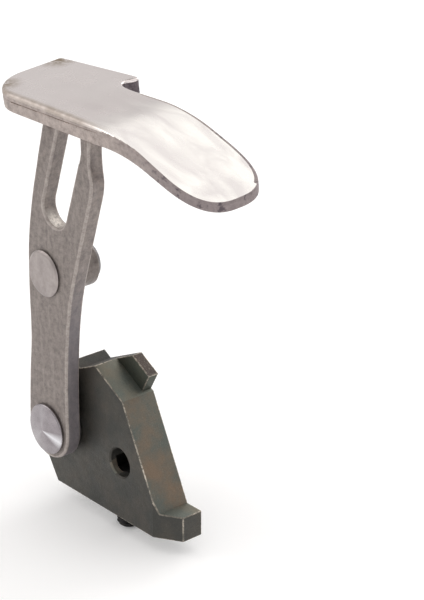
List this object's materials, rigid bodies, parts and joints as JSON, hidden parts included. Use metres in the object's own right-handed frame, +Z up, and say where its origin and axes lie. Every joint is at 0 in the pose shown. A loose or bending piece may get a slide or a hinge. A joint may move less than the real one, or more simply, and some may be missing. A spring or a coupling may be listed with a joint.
{
  "type": "paddle lever linkage",
  "caption": "Cast hand lever with a polished paddle and a slotted arm, riveted to a notched steel pivot block with a shaft bore and set screw.",
  "frame": {"origin": "on the axis of the block's shaft bore, halfway through the block", "axes": "+Y along the shaft bore, from the lever's side of the block to its back; +Z up along the lever, towards the paddle; +X along the paddle, towards the tip of its tongue"},
  "size_m": [0.1008, 0.0347, 0.1402],
  "materials": {
    "cast_lever": "polished paddle top, as-cast arm",
    "pin_steel": "satin",
    "roller_steel": "ground, slightly worn",
    "spring_steel": "plain",
    "turned_steel": "turned, bright",
    "dark_steel": "dark oxide with bright worn edges",
    "black_steel": "black oxide"
  },
  "bodies": {
    "block_body": {"pivot_block": "dark_steel", "pivot_rivet": "turned_steel", "rivet_washer": "spring_steel", "pivot_spacer": "spring_steel"},
    "lever_body": {"lever_casting": "cast_lever", "upper_pin": "pin_steel", "roller_clip": "spring_steel"},
    "roller_body": {"roller": "roller_steel"},
    "screw_body": {"set_screw": "black_steel"}
  },
  "joints": [
    {"name": "lever_swing", "type": "hinge", "parent": "block_body", "child": "lever_body", "pos_m": [-0.027, -0.01085, 0.0042], "axis": [0, 1, 0], "range_deg": [-15, 45]},
    {"name": "roller_spin", "type": "hinge", "parent": "lever_body", "child": "roller_body", "pos_m": [-0.02569, -0.00275, 0.05758], "axis": [0, 1, 0], "continuous": true},
    {"name": "screw_travel", "type": "slide", "parent": "block_body", "child": "screw_body", "axis": [0, 0, 1], "range_m": [-0.008, 0.0015]}
  ]
}
